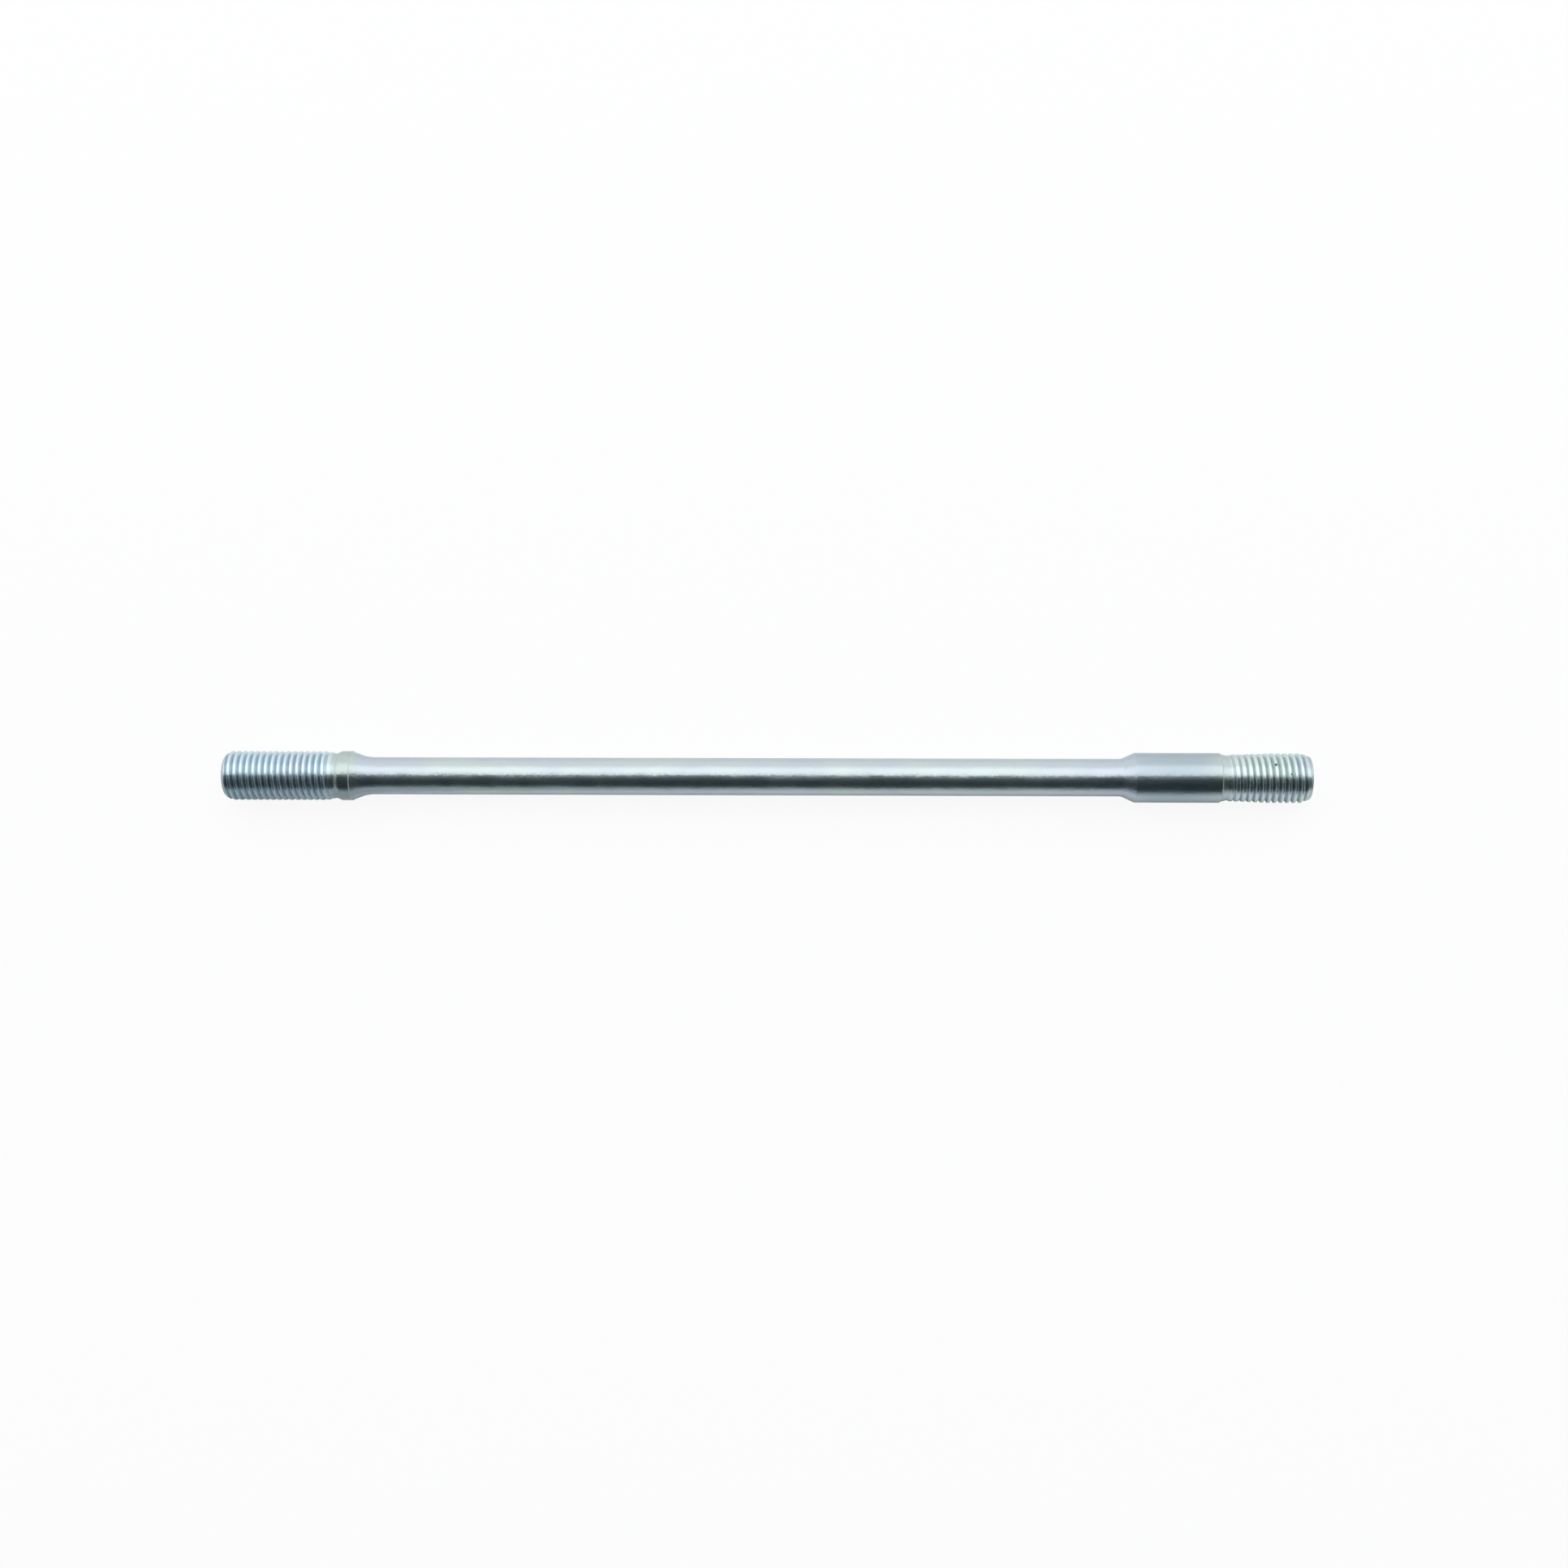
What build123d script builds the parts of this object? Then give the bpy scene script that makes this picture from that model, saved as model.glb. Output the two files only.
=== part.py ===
from build123d import *
import math
import os

# A waisted stud bolt: one steel bar with a thread rolled on each end and a thinner shank between.
# It lies along X. The origin is on its axis, at the end of the tap-end collar, where the chamfer
# starts and the stud seats in its hole. The tap end runs out along +X and the nut end along -X.
# The threads are plain here, at the diameter of their crests.

# Whole stud. The bar is a little larger than the crests of its threads.
overall_length = 215.0
thread_major = 9.76
bar_over_thread = 0.04
shank_diameter = 7.4

# Threads, M10 x 1.25, right-hand at both ends. The drop is in pitches, from crest to pitch diameter.
thread_pitch = 1.25
pitch_diameter_drop = 0.6495
rim_round = 0.25

# Nut end: end chamfer, thread, run-out into a groove, sloping shoulder, narrow land and a concave
# sweep to the shank
nut_thread_length = 23.4
nut_chamfer_length = 1.3
nut_chamfer_depth = 0.88
runout_length = 0.45
runout_groove_length = 1.0
shoulder_length = 0.9
land_length = 2.3
land_round = 0.2
sweep_radius = 8.0

# Tap end: cone, long collar, chamfer, neck, low first turns, full thread and end chamfer. The drops
# are from the crest radius of the full thread.
cone_angle = 25.0
cone_root_radius = 2.0
collar_length = 16.8
collar_round = 0.15
collar_chamfer_length = 1.25
tap_end_length = 17.5
tap_chamfer_length = 1.7
tap_chamfer_depth = 0.72
neck_drop = 0.48
neck_rise_length = 0.6
low_turns_drop = 0.24
low_turns_length = 2.4
rising_turns_length = 5.0

# Radii worked out from the diameters
crest_radius = thread_major / 2
bar_radius = crest_radius + bar_over_thread / 2
shank_radius = shank_diameter / 2
blank_radius = (thread_major - pitch_diameter_drop * thread_pitch) / 2

# Places along the axis
tap_tip = tap_end_length
nut_tip = tap_tip - overall_length
land_start = nut_tip + nut_thread_length
land_end = land_start + land_length
collar_start = -collar_length
waist_depth = bar_radius - shank_radius


def rounded_corners(points, radius):
    """Lines through the points, with each inner corner rounded to the radius."""
    return FilletPolyline(*points, radius=radius)


def nut_end():
    """Half outline from the axis at the nut end to the edge of the land."""
    face_radius = crest_radius - nut_chamfer_depth
    face = [(nut_tip, 0), (nut_tip, face_radius)]
    thread_start = (nut_tip + nut_chamfer_length, crest_radius)
    rounded_corners([*face, thread_start], rim_round)
    groove_end = land_start - shoulder_length
    groove_start = groove_end - runout_groove_length
    thread_end = (groove_start - runout_length, crest_radius)
    Line(thread_start, thread_end)
    Polyline(thread_end, (groove_start, blank_radius), (groove_end, blank_radius))
    land = [(groove_end, blank_radius), (land_start, bar_radius), (land_end, bar_radius)]
    rounded_corners(land, land_round)


def shank():
    """Concave sweep off the land, the plain shank, and the cone up to the collar."""
    sweep_length = math.sqrt(2 * sweep_radius * waist_depth - waist_depth**2)
    sweep_end = (land_end + sweep_length, shank_radius)
    RadiusArc((land_end, bar_radius), sweep_end, sweep_radius)
    cone_length = waist_depth / math.tan(math.radians(cone_angle))
    cone_start = (collar_start - cone_length, shank_radius)
    rounded_corners([sweep_end, cone_start, (collar_start, bar_radius)], cone_root_radius)


def tap_end():
    """Collar, its chamfer, the neck, the low and rising turns, the full thread and the end face."""
    chamfer_end = (collar_chamfer_length, crest_radius - neck_drop)
    rounded_corners([(collar_start, bar_radius), (0, bar_radius), chamfer_end], collar_round)
    low_start = (chamfer_end[0] + neck_rise_length, crest_radius - low_turns_drop)
    low_end = (low_start[0] + low_turns_length, low_start[1])
    full_start = (low_end[0] + rising_turns_length, crest_radius)
    full_end = (tap_tip - tap_chamfer_length, crest_radius)
    Polyline(chamfer_end, low_start, low_end, full_start, full_end)
    face_radius = crest_radius - tap_chamfer_depth
    rounded_corners([full_end, (tap_tip, face_radius), (tap_tip, 0)], rim_round)


def stud():
    """The half outline turned once about the axis."""
    with BuildPart() as body:
        with BuildSketch():
            with BuildLine():
                nut_end()
                shank()
                tap_end()
                Line((tap_tip, 0), (nut_tip, 0))
            make_face()
        revolve(axis=Axis.X)
    return body.part


os.makedirs("parts", exist_ok=True)
export_step(stud(), "parts/stud.step")
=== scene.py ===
import math

import bmesh
import bpy
import numpy as np
from mathutils import Matrix, Vector


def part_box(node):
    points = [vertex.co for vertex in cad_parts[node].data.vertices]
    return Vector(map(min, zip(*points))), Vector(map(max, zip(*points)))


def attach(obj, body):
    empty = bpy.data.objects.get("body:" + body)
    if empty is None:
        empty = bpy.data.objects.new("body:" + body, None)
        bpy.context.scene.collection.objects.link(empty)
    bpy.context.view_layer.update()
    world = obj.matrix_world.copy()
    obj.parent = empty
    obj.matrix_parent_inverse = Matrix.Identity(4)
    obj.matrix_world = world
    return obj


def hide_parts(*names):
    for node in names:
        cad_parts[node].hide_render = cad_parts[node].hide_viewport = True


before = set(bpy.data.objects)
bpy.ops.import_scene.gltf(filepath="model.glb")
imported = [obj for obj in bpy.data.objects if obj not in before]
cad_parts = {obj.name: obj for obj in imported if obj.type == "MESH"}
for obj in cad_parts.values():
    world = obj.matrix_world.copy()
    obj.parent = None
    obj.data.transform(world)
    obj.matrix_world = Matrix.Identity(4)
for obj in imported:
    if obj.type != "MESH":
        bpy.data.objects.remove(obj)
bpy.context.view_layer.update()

# Stud bolt
# One bar of medium-carbon steel, turned to a thin shank between two full-size lands and then
# thread-rolled at both ends, M10 x 1.25 right-hand. Rolling presses the roots in and pushes the
# crests up, so both are rounded over, and the bar beside each thread is thinner.
MM = 0.001
nut_tip, tap_tip, bar_radius = (
    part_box("stud")[0].x / MM,
    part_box("stud")[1].x / MM,
    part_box("stud")[1].y / MM,
)
shank_radius = 3.7

# The thread. Tooth and gap are equally wide at the even radius. A bar that is to be rolled is
# turned down to the blank radius first, the pitch radius of a metric thread.
pitch = 1.25
crest_radius = bar_radius - 0.02
even_radius = crest_radius - 0.19
root_radius = crest_radius - 0.66
blank_radius = crest_radius - 0.3248 * pitch
crest_blend = 0.12
root_blend = 0.16
steps_round = 96
cuts_across_thread = 21

# The nut end: a chamfered tip, a long thread, a narrow land and a sweep down to the shank.
nut_chamfer = 1.3
nut_face_radius = crest_radius - 0.88
land_start = nut_tip + 23.4
land_end = land_start + 2.3
land_foot = land_start - 0.9
nut_groove = land_foot - 1.0
edge_break = 0.18
sweep_radius = 8.0

# The tap end: a cone up from the shank, a full-size collar, a short neck, and a thread whose
# first turns are low.
cone_angle = math.radians(25.0)
collar_start = -16.8
collar_foot = 1.25
neck_radius = crest_radius - 0.48
low_radius = crest_radius - 0.24
low_turns_end = collar_foot + 3.0
rising_turns_end = low_turns_end + 5.0
tap_chamfer = 1.7
tap_face_radius = crest_radius - 0.72


def soft_min(a, b, blend):
    """The smaller of two values, rounded over where they meet."""
    overlap = max(blend - abs(a - b), 0.0) / blend
    return min(a, b) - overlap * overlap * blend / 4


def thread_height(x, angle, crests, roots):
    """Radius of the thread at a place: 60 degree flanks that round over into a crest and a root."""
    turn = x / pitch - angle / math.tau
    off_crest = abs(turn - round(turn))
    flank = even_radius + (0.25 - off_crest) * pitch * math.tan(math.radians(60))
    rounded_root = -soft_min(-flank, -np.interp(x, *roots), root_blend)
    return soft_min(rounded_root, np.interp(x, *crests), crest_blend)


def threaded(start, end, crests, roots):
    """A helical strip, spun one turn, repeated along the axis and cut square at both ends."""
    thread = bmesh.new()
    ends = [thread.verts.new((x, bar_radius, 0)) for x in (0, pitch)]
    thread.edges.new(ends)
    bmesh.ops.subdivide_edges(thread, edges=thread.edges[:], cuts=cuts_across_thread)
    bmesh.ops.spin(
        thread,
        geom=thread.verts[:] + thread.edges[:],
        cent=(0, 0, 0),
        axis=(1, 0, 0),
        dvec=(pitch / steps_round, 0, 0),
        angle=math.tau,
        steps=steps_round,
    )
    first = math.floor(start / pitch) - 1
    bmesh.ops.translate(thread, verts=thread.verts[:], vec=(first * pitch, 0, 0))
    one_turn = thread.verts[:] + thread.edges[:] + thread.faces[:]
    for turn in range(1, math.ceil((end - start) / pitch) + 2):
        copy = bmesh.ops.duplicate(thread, geom=one_turn)["geom"]
        moved = [part for part in copy if isinstance(part, bmesh.types.BMVert)]
        bmesh.ops.translate(thread, verts=moved, vec=(turn * pitch, 0, 0))
    bmesh.ops.remove_doubles(thread, verts=thread.verts[:], dist=0.005)
    for vert in thread.verts:
        angle = math.atan2(vert.co.z, vert.co.y)
        radius = thread_height(vert.co.x, angle, crests, roots)
        vert.co.yz = radius * math.cos(angle), radius * math.sin(angle)
    for place, keep in ((start, 1), (end, -1)):
        everything = thread.verts[:] + thread.edges[:] + thread.faces[:]
        bmesh.ops.bisect_plane(
            thread,
            geom=everything,
            plane_co=(place, 0, 0),
            plane_no=(-keep, 0, 0),
            clear_outer=True,
        )
    return thread


def add_to(body, part):
    """Moves a finished stretch into the stud's own mesh."""
    carrier = bpy.data.meshes.new("stretch")
    part.to_mesh(carrier)
    part.free()
    body.from_mesh(carrier)
    bpy.data.meshes.remove(carrier)


def open_ring(body, x):
    """The open edges at a place along the axis."""
    rims = [edge for edge in body.edges if edge.is_boundary]
    return [edge for edge in rims if all(abs(vert.co.x - x) < 0.02 for vert in edge.verts)]


def draw_along(body, ring, outline):
    """Extrudes an open ring through each point of an outline, and gives back the last ring."""
    for x, radius in outline:
        grown = bmesh.ops.extrude_edge_only(body, edges=ring)["geom"]
        verts = {part for part in grown if isinstance(part, bmesh.types.BMVert)}
        ring = [e for e in grown if isinstance(e, bmesh.types.BMEdge) and verts.issuperset(e.verts)]
        for vert in verts:
            angle = math.atan2(vert.co.z, vert.co.y)
            vert.co = x, radius * math.cos(angle), radius * math.sin(angle)
    return ring


def rounded(points, radius, steps=5):
    """The points of a line, with each inner corner turned into an arc."""
    points = [Vector(point) for point in points]
    line = [points[0]]
    for before, corner, after in zip(points, points[1:], points[2:]):
        back = (before - corner).normalized()
        on = (after - corner).normalized()
        half = back.angle(on) / 2
        centre = corner + (back + on).normalized() * radius / math.sin(half)
        reach = radius / math.tan(half)
        first, last = corner + back * reach - centre, corner + on * reach - centre
        for step in range(steps + 1):
            line.append(centre + first.lerp(last, step / steps).normalized() * radius)
    return line + [points[-1]]


# Each thread runs from a rim just inside its tip to a seam with the plain bar.
rim = 0.12
nut_rim = nut_tip + rim
tap_rim = tap_tip - rim
nut_seam = nut_groove + 0.5
tap_seam = collar_foot + 0.15

# Each envelope is a row of places along the axis and a row of radii there.
crests_at_nut_end = (
    (nut_tip, nut_tip + 0.5, nut_tip + nut_chamfer, nut_groove - pitch, nut_groove, nut_seam),
    (
        nut_face_radius,
        crest_radius - 0.4,
        crest_radius,
        crest_radius,
        blank_radius + 0.16,
        blank_radius,
    ),
)
roots_at_nut_end = (
    (nut_groove - 1.6 * pitch, nut_groove - 0.3, nut_seam),
    (root_radius, blank_radius - 0.08, blank_radius),
)
crests_at_tap_end = (
    (
        tap_seam,
        collar_foot + 0.6,
        low_turns_end,
        rising_turns_end,
        tap_tip - tap_chamfer,
        tap_tip,
    ),
    (neck_radius, low_radius - 0.02, low_radius, crest_radius, crest_radius, tap_face_radius),
)
roots_at_tap_end = (
    (tap_seam, collar_foot + 0.6, collar_foot + 1.5 * pitch, low_turns_end + 1),
    (neck_radius, neck_radius - 0.02, neck_radius - 0.12, root_radius),
)

stud = bmesh.new()
add_to(stud, threaded(nut_rim, nut_seam, crests_at_nut_end, roots_at_nut_end))
add_to(stud, threaded(tap_seam, tap_rim, crests_at_tap_end, roots_at_tap_end))

# The plain bar between the threads, drawn along its outline from the nut end to the tap end.
waist = bar_radius - shank_radius
sweep_length = math.sqrt(2 * sweep_radius * waist - waist**2)
sweep = []
for step in range(13):
    back = sweep_length * (1 - step / 12)
    rise = sweep_radius - math.sqrt(sweep_radius**2 - back**2)
    sweep.append((land_end + sweep_length - back, shank_radius + rise))
neck_side = [(nut_seam + 0.05, blank_radius), (land_foot, blank_radius), (land_start, bar_radius)]
shoulder = rounded([*neck_side, (land_end - 0.6, bar_radius)], 0.8)
land_edge = [(land_end - 0.5, bar_radius), (land_end - edge_break, bar_radius)]
land_edge = rounded([*land_edge, (land_end, bar_radius - edge_break), sweep[2]], 0.04, 3)
cone_start = (collar_start - waist / math.tan(cone_angle), shank_radius)
cone = rounded([sweep[-1], cone_start, (collar_start, bar_radius)], 2.0, 8)
collar = rounded([cone[-2], (collar_start, bar_radius), (collar_start + 1, bar_radius)], 0.15)
collar_edge = [(-1, bar_radius), (-edge_break, bar_radius), (0, bar_radius - edge_break)]
neck = [(collar_foot, neck_radius), (tap_seam - 0.02, neck_radius)]
collar_edge = rounded([*collar_edge, *neck], 0.05, 3)
ring = open_ring(stud, nut_seam)
outline = shoulder + land_edge[:-1] + sweep[2:] + cone[1:-1] + collar[1:] + collar_edge[:-1]
ring = draw_along(stud, ring, outline)
bmesh.ops.bridge_loops(stud, edges=ring + open_ring(stud, tap_seam))

# The end faces, each dished a little towards its centre.
for rim_place, tip, face_radius in (
    (nut_rim, nut_tip, nut_face_radius),
    (tap_rim, tap_tip, tap_face_radius),
):
    inward = math.copysign(1, rim_place - tip)
    face = [
        (tip + inward * 0.03, face_radius - 0.03),
        (tip, face_radius - 0.14),
        (tip, face_radius - 0.9),
        (tip + inward * 0.05, face_radius * 0.5),
        (tip + inward * 0.07, face_radius * 0.12),
    ]
    ring = draw_along(stud, open_ring(stud, rim_place), face)
    innermost = list({vert for edge in ring for vert in edge.verts})
    bmesh.ops.pointmerge(stud, verts=innermost, merge_co=(tip + inward * 0.07, 0, 0))

bmesh.ops.recalc_face_normals(stud, faces=stud.faces[:])
for edge in stud.edges:
    edge.smooth = edge.calc_face_angle(0) < math.radians(40)
for face in stud.faces:
    face.smooth = True
bmesh.ops.scale(stud, vec=(MM, MM, MM), verts=stud.verts[:])
mesh = bpy.data.meshes.new("rolled_stud")
stud.to_mesh(mesh)
stud.free()
bolt = bpy.data.objects.new("rolled_stud", mesh)
bpy.context.scene.collection.objects.link(bolt)
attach(bolt, "root")
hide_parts("stud")

# Zinc plating
# A few thousandths of a millimetre of bright electroplated zinc under a clear blue passivation.
# It keeps the turning lines of the steel and adds its own faint mottle. The passivation is thin
# enough to drift between a green, a blue and a violet cast along the stud.


def linear(code):
    """An sRGB hex colour as the linear colour that a shader takes."""
    parts = [int(code[i : i + 2], 16) / 255 for i in (1, 3, 5)]
    return [c / 12.92 if c <= 0.04045 else ((c + 0.055) / 1.055) ** 2.4 for c in parts] + [1.0]


def add(tree, kind, links=(), **settings):
    """Adds a node; links are (input, value or output socket) pairs."""
    made = tree.nodes.new(kind)
    for name, value in settings.items():
        setattr(made, name, value)
    for name, value in links:
        if isinstance(value, bpy.types.NodeSocket):
            tree.links.new(value, made.inputs[name])
        else:
            made.inputs[name].default_value = value
    return made


green, blue, violet, pale, slate = "#C2D1CC", "#BFD0D8", "#C3CDD8", "#C9D6D6", "#B4C4CC"
casts = (
    (nut_tip, blue),
    (land_foot - 2, blue),
    (land_start, green),
    (land_end, green),
    (land_end + 2, violet),
    (land_end + 15, pale),
    (collar_start - 20, pale),
    (collar_start - 2, violet),
    (collar_start + 1, slate),
    (-4, slate),
    (0, green),
)

# Two small nicks on the short thread, where the plating is gone and dirt has stayed: how far
# along the stud each one sits, and how far up from its back edge in degrees.
nicks = ((10.15, 73), (13.15, 96))


def plated(name, shine, mottle_size, line_spacing, depth, roughness, root_dirt_and_shade=0.0, faced=False):
    """Zinc plate over steel with its own mottle and its turning or rolling lines, sizes in mm."""
    zinc = bpy.data.materials.new(name)
    zinc.use_nodes = True
    tree = zinc.node_tree
    surface = tree.nodes["Principled BSDF"]
    surface.inputs["Metallic"].default_value = 1.0
    place = add(tree, "ShaderNodeTexCoord").outputs["Object"]
    along = add(tree, "ShaderNodeSeparateXYZ", [(0, place)]).outputs["X"]
    links = [(0, place), (1, (0, 1, 1))]
    across = add(tree, "ShaderNodeVectorMath", links, operation="MULTIPLY").outputs[0]
    radius = add(tree, "ShaderNodeVectorMath", [(0, across)], operation="LENGTH").outputs["Value"]

    def grain(spot, length, width, detail):
        """Noise with its own length along X and its own width across it."""
        scale = (1 / (length * MM), 1 / (width * MM), 1 / (width * MM))
        spread = add(tree, "ShaderNodeMapping", [("Vector", spot), ("Scale", scale)]).outputs[0]
        links = [("Vector", spread), ("Scale", 1.0), ("Detail", detail)]
        return add(tree, "ShaderNodeTexNoise", links).outputs["Fac"]

    def remap(value, low, high, to_low, to_high):
        """A value carried from one range to another, and held at its ends."""
        ends = [("From Min", low), ("From Max", high), ("To Min", to_low), ("To Max", to_high)]
        return add(tree, "ShaderNodeMapRange", [("Value", value), *ends]).outputs[0]

    # The cast follows the stops along the stud, and drifts towards violet in patches.
    drift = remap(grain(place, 9.0, 7.0, 1.0), 0.35, 0.7, 0.0, 0.7)
    part_way = remap(along, nut_tip * MM, tap_tip * MM, 0, 1)
    ramp = add(tree, "ShaderNodeValToRGB", [("Fac", part_way)])
    stops = ramp.color_ramp.elements
    stops.remove(stops[1])
    for number, (spot, code) in enumerate(casts):
        position = (spot - nut_tip) / (tap_tip - nut_tip)
        stop = stops.new(position) if number else stops[0]
        stop.position = position
        stop.color = [shine * part for part in linear(code)[:3]] + [1.0]
    other = [shine * part for part in linear(violet)[:3]] + [1.0]
    links = [("Factor", drift), (6, ramp.outputs[0]), (7, other)]
    tinted = add(tree, "ShaderNodeMix", links, data_type="RGBA").outputs[2]

    # The roots of a thread are darkened towards the root radius, which is painted shade in the
    # grooves with some dirt. The nicks are darkened by the dirt that has stayed in them.
    dirt_and_shade = remap(radius, root_radius * MM, (crest_radius - 0.12) * MM, 1 - root_dirt_and_shade, 1.0)
    for spot, turned in nicks:
        angle = math.radians(turned)
        centre = Vector((spot, crest_radius * math.cos(angle), crest_radius * math.sin(angle))) * MM
        links = [(0, place), (1, centre)]
        away = add(tree, "ShaderNodeVectorMath", links, operation="DISTANCE").outputs["Value"]
        links = [(0, dirt_and_shade), (1, remap(away, 0.18 * MM, 0.4 * MM, 0.1, 1.0))]
        dirt_and_shade = add(tree, "ShaderNodeMath", links, operation="MULTIPLY").outputs[0]
    links = [(0, tinted), ("Scale", dirt_and_shade)]
    colour = add(tree, "ShaderNodeVectorMath", links, operation="SCALE").outputs[0]
    tree.links.new(colour, surface.inputs["Base Color"])

    # The mottle dulls the plate in patches, and stands in the relief with the turning lines.
    mottle = grain(place, mottle_size, mottle_size / 2, 1.0)
    tree.links.new(remap(mottle, 0.3, 0.7, *roughness), surface.inputs["Roughness"])
    if faced:
        links = [("X", radius), ("Y", along), ("Z", along)]
        place = add(tree, "ShaderNodeCombineXYZ", links).outputs[0]
    lines = grain(place, line_spacing, 0.8, 1.0)
    links = [(0, mottle), (1, 2.0), (2, lines)]
    relief = add(tree, "ShaderNodeMath", links, operation="MULTIPLY_ADD").outputs[0]
    links = [("Height", relief), ("Strength", 1.0), ("Distance", depth * MM)]
    bump = add(tree, "ShaderNodeBump", links).outputs[0]
    tree.links.new(bump, surface.inputs["Normal"])
    return zinc


for finish in (
    plated("Zinc plate on turned steel", 1.0, 5.0, 0.35, 0.045, (0.29, 0.35)),
    # The rolled thread's roots are darkened: painted shade in the grooves, with some dirt.
    plated("Zinc plate on rolled thread", 1.3, 3.0, 0.35, 0.02, (0.28, 0.32), root_dirt_and_shade=0.3),
    plated("Zinc plate on drawn bar", 0.94, 6.0, 0.5, 0.03, (0.28, 0.33)),
    plated("Zinc plate on faced ends", 0.9, 2.0, 0.25, 0.02, (0.29, 0.36), faced=True),
):
    bolt.data.materials.append(finish)
for face in bolt.data.polygons:
    x = face.center.x / MM
    if x < nut_rim or x > tap_rim:
        face.material_index = 3
    elif x < nut_seam or x > tap_seam:
        face.material_index = 1
    elif land_start < x < land_end - edge_break or collar_start < x < -edge_break:
        face.material_index = 2

# Floor and light
# The stud lies on a plain white sheet. A long softbox hangs over it, a dark flag stands in front
# with a grey apron below it, and the round metal shows them as a bright, a dark and a grey band.
# The apron is painted floor shade: a grey card that only the metal sees, darker than the sheet.
floor_mesh = bmesh.new()
bmesh.ops.create_grid(floor_mesh, x_segments=1, y_segments=1, size=4.0)
bmesh.ops.translate(floor_mesh, verts=floor_mesh.verts[:], vec=(0, 0, -bar_radius * MM))
mesh = bpy.data.meshes.new("floor")
floor_mesh.to_mesh(mesh)
floor_mesh.free()
floor = bpy.data.objects.new("floor", mesh)
bpy.context.scene.collection.objects.link(floor)


def seen_directly(tree):
    """1 for camera, mirror and clear rays, 0 for the light that falls on things."""
    ray = add(tree, "ShaderNodeLightPath").outputs
    seen = ray["Is Camera Ray"]
    for kind in ("Is Glossy Ray", "Is Transmission Ray"):
        either = [(0, seen), (1, ray[kind])]
        seen = add(tree, "ShaderNodeMath", either, operation="MAXIMUM").outputs[0]
    return seen


paper = bpy.data.materials.new("White paper sweep")
paper.use_nodes = True
tree = paper.node_tree
surface = tree.nodes["Principled BSDF"]
surface.inputs["Base Color"].default_value = linear("#D8DCDD")
surface.inputs["Roughness"].default_value = 0.9
ray = add(tree, "ShaderNodeLightPath").outputs
white = add(tree, "ShaderNodeEmission", [("Color", (1, 1, 1, 1)), ("Strength", 1.0)]).outputs[0]
links = [("Value", seen_directly(tree)), ("To Min", 0.0), ("To Max", 0.12)]
mirrored = add(tree, "ShaderNodeMapRange", links).outputs[0]
# Most of the sheet's white is its own, so it has no grey fall-off; the metal sees less of it.
links = [(0, ray["Is Camera Ray"]), (1, 0.8), (2, mirrored)]
share = add(tree, "ShaderNodeMath", links, operation="MULTIPLY_ADD").outputs[0]
mixed = add(tree, "ShaderNodeMixShader", [("Fac", share), (1, surface.outputs[0]), (2, white)])
tree.links.new(mixed.outputs[0], tree.nodes["Material Output"].inputs["Surface"])
floor.data.materials.append(paper)

room = bpy.data.worlds.new("Studio")
bpy.context.scene.world = room
room.use_nodes = True
tree = room.node_tree
tree.nodes["Background"].inputs["Color"].default_value = (1, 1, 1, 1)
# The room lights the sheet more strongly than it shows in the metal.
links = [("Value", seen_directly(tree)), ("To Min", 1.6), ("To Max", 1.0)]
strength = add(tree, "ShaderNodeMapRange", links).outputs[0]
tree.links.new(strength, tree.nodes["Background"].inputs["Strength"])

middle = Vector(((nut_tip + tap_tip) / 2, 0, 0)) * MM
softbox_distance = 0.6
softbox_half_angle = math.radians(25)
lamp = bpy.data.lights.new("softbox", "AREA")
lamp.shape = "RECTANGLE"
lamp.size = 2.6
lamp.size_y = 2 * softbox_distance * math.tan(softbox_half_angle)
lamp.energy = 2.1
softbox = bpy.data.objects.new("softbox", lamp)
lean = math.radians(18)
softbox.location = middle + softbox_distance * Vector((0, math.sin(lean), math.cos(lean)))
softbox.rotation_euler = (-lean, 0, 0)
bpy.context.scene.collection.objects.link(softbox)


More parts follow.
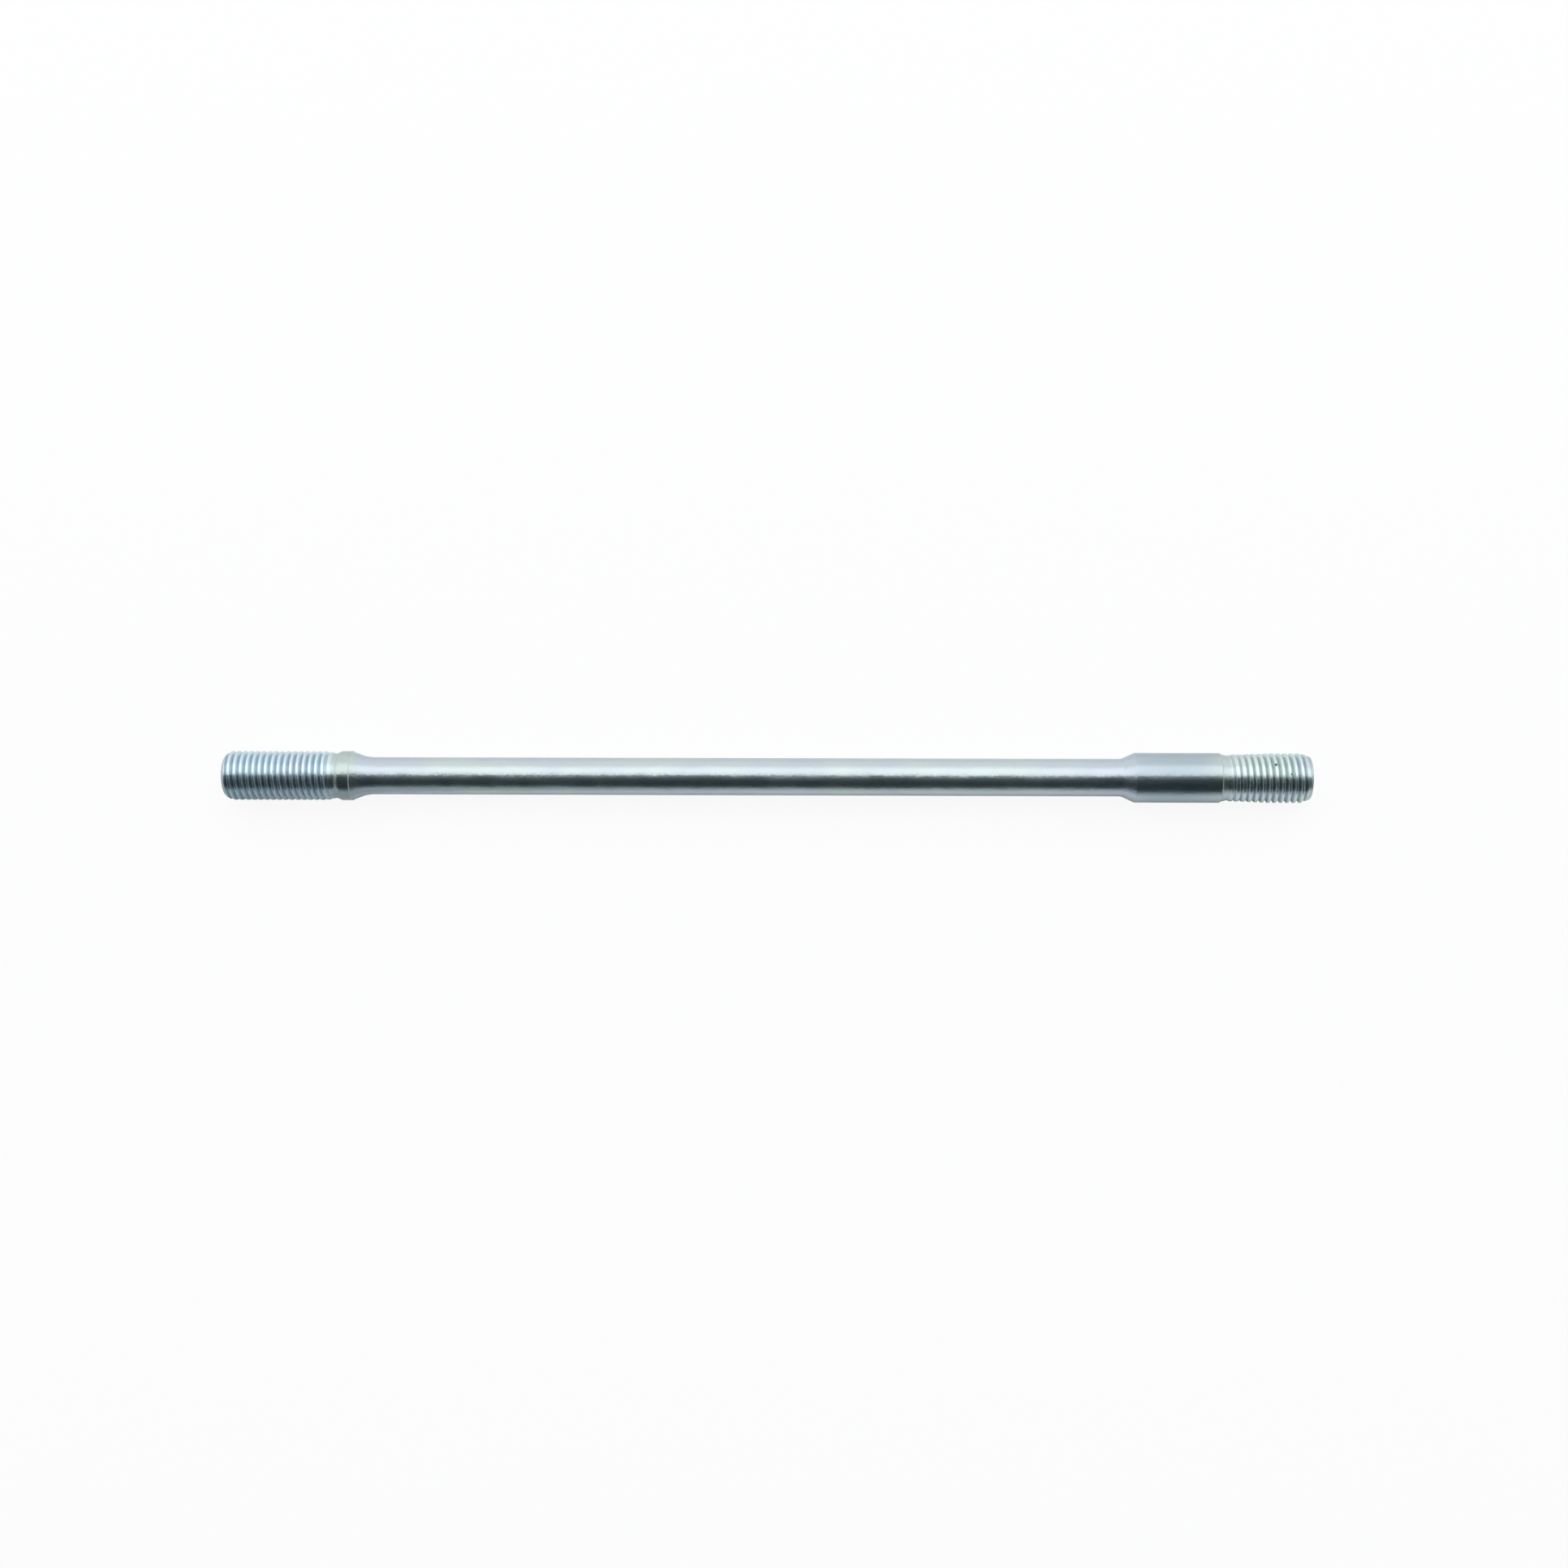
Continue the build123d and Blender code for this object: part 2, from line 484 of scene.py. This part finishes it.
def card(name, outline, code):
    """A matt card beside the stud that the camera doesn't see."""
    card_mesh = bmesh.new()
    card_mesh.faces.new([card_mesh.verts.new(corner) for corner in outline])
    mesh = bpy.data.meshes.new(name)
    card_mesh.to_mesh(mesh)
    card_mesh.free()
    made = bpy.data.objects.new(name, mesh)
    bpy.context.scene.collection.objects.link(made)
    made.visible_camera = False
    cloth = bpy.data.materials.new(name)
    cloth.use_nodes = True
    surface = cloth.node_tree.nodes["Principled BSDF"]
    surface.inputs["Base Color"].default_value = linear(code)
    surface.inputs["Roughness"].default_value = 1.0
    surface.inputs["Specular IOR Level"].default_value = 0.0
    made.data.materials.append(cloth)
    return made


# The flag and the apron share an edge out in front. The apron is painted shade on the floor in
# front, as the metal sees it: its near edge runs at a slant, so the nut end sees more of it, and
# it takes no part in lighting the floor and casts no shadow.
sides = (-2, 2)
foot = [(x, -1.0, 0.06) for x in sides]
top = [(x, -0.09, 0.72) for x in reversed(sides)]
card("black_flag", [*foot, *top], "#2E3B3F")
# The grey apron is painted shade: a card over the floor that only reflections show.
near_edge = [(x, -0.04 - 0.18 * x, 0.1 * MM - bar_radius * MM) for x in (0.3, -0.6)]
apron = card("grey_floor_shade_apron", [*foot, *near_edge], "#A9B0B2")
apron.visible_shadow = False
apron.visible_diffuse = False

# Camera
# It looks down on the middle of the stud from the front, a little from the tap-end side.
distance = 0.391
frame_width = 0.3113
height = math.radians(75)
swing = math.radians(1.8)
roll = math.radians(0.16)
level, upright = math.cos(height), math.sin(height)
back = Vector((math.sin(swing), -math.cos(swing) * level, math.cos(swing) * upright))
side = Vector((1, 0, 0)) - back * back.x
side.normalize()
up = back.cross(side)
turned = Matrix.Rotation(roll, 3, back)
side = turned @ side
up = turned @ up
shift_aside, shift_down = 4.1 * MM, 1.45 * MM
eye = middle + back * distance + side * shift_aside - up * shift_down
camera = bpy.data.objects.new("camera", bpy.data.cameras.new("camera"))
camera.matrix_world = Matrix.Translation(eye) @ Matrix((side, up, back)).transposed().to_4x4()
camera.data.angle = 2 * math.atan(frame_width / 2 / distance)
camera.data.clip_start = 0.01
bpy.context.scene.collection.objects.link(camera)
bpy.context.scene.camera = camera
bpy.context.scene.view_settings.view_transform = "Standard"
